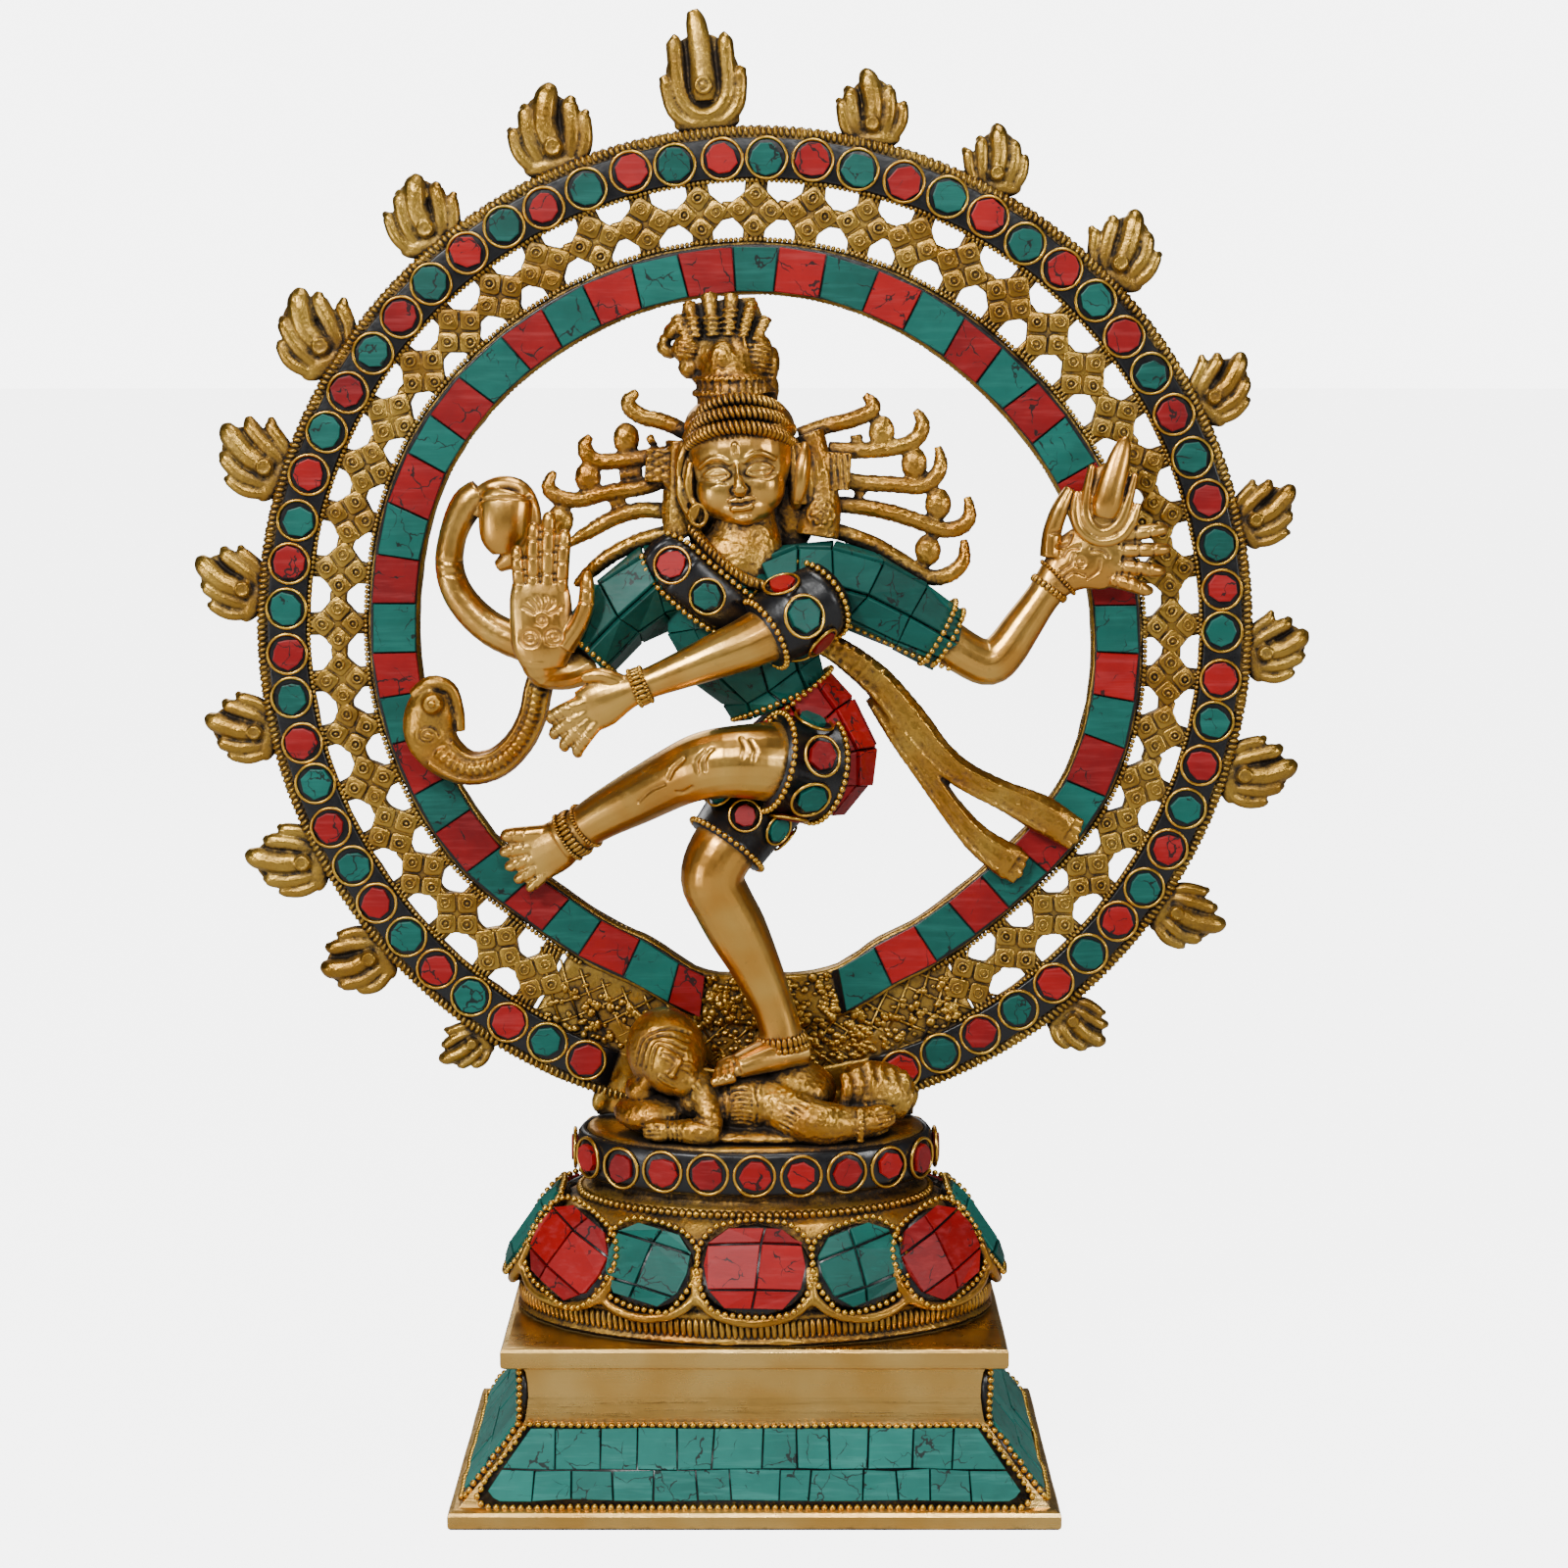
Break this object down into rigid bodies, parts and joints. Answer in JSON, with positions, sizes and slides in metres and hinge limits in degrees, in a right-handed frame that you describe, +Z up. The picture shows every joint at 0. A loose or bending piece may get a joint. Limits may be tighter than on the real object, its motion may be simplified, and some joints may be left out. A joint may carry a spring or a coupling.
{
  "type": "dancing figure statue",
  "caption": "Brass statue of a dancer inside a ring of flames on a lotus pedestal and stepped plinth, inlaid with coloured stone.",
  "frame": {"origin": "middle of the plinth's foot, on the surface the statue stands on", "axes": "+Z up, the figure faces -Y, +X is the viewer's right"},
  "size_m": [0.2316, 0.074, 0.3044],
  "materials": {
    "antique_brass": "cast, dark patina in the recesses and rubbed bright on the high places",
    "brushed_brass": "filed and brushed, satin",
    "turquoise_stone": "ground flat, semi-gloss, dark veins and black joints",
    "coral_stone": "ground flat, semi-gloss, fine scratches and black joints",
    "black_lac": "black resin, glossy",
    "steel": "machined screws"
  },
  "bodies": {
    "root": {"plinth": "brushed_brass", "front_tile_panel": "turquoise_stone", "right_tile_panel": "turquoise_stone", "back_tile_panel": "turquoise_stone", "left_tile_panel": "turquoise_stone", "lotus_pedestal": "antique_brass", "petal_inlay_01": "coral_stone", "petal_inlay_02": "turquoise_stone", "petal_inlay_03": "coral_stone", "petal_inlay_04": "turquoise_stone", "petal_inlay_05": "coral_stone", "petal_inlay_06": "turquoise_stone", "petal_inlay_07": "coral_stone", "petal_inlay_08": "turquoise_stone", "petal_inlay_09": "coral_stone", "petal_inlay_10": "turquoise_stone", "petal_inlay_11": "coral_stone", "petal_inlay_12": "turquoise_stone", "pedestal_gem_band": "black_lac", "flame_ring": "antique_brass", "ring_gem_channel": "black_lac", "ring_tile_band_right": "turquoise_stone", "ring_tile_band_left": "coral_stone", "figure_screw": "steel", "ring_screw_right": "steel", "ring_screw_left": "steel", "standing_leg": "antique_brass", "standing_leg_cuff": "black_lac", "raised_leg": "antique_brass", "raised_thigh_band": "black_lac", "hips": "coral_stone", "dwarf_body": "antique_brass", "dwarf_head": "antique_brass", "crossed_arm": "antique_brass", "crossed_arm_cuff": "black_lac", "torso": "turquoise_stone", "right_upper_arm": "turquoise_stone", "left_sleeve": "turquoise_stone", "collar_band": "black_lac", "head": "antique_brass", "crown": "antique_brass", "left_ear_ornament": "antique_brass", "right_ear_ornament": "antique_brass", "open_hand_arm": "antique_brass", "drum_arm": "antique_brass", "drum": "antique_brass", "cobra": "antique_brass", "flame_arm": "antique_brass", "hand_flame": "antique_brass", "sash": "antique_brass", "hair_lock_right_1": "antique_brass", "hair_lock_right_2": "antique_brass", "hair_lock_right_3": "antique_brass", "hair_lock_right_4": "antique_brass", "hair_lock_right_5": "antique_brass", "hair_lock_left_1": "antique_brass", "hair_lock_left_2": "antique_brass", "hair_lock_left_3": "antique_brass", "hair_lock_left_4": "antique_brass", "hair_lock_left_5": "antique_brass"}
  },
  "joints": []
}
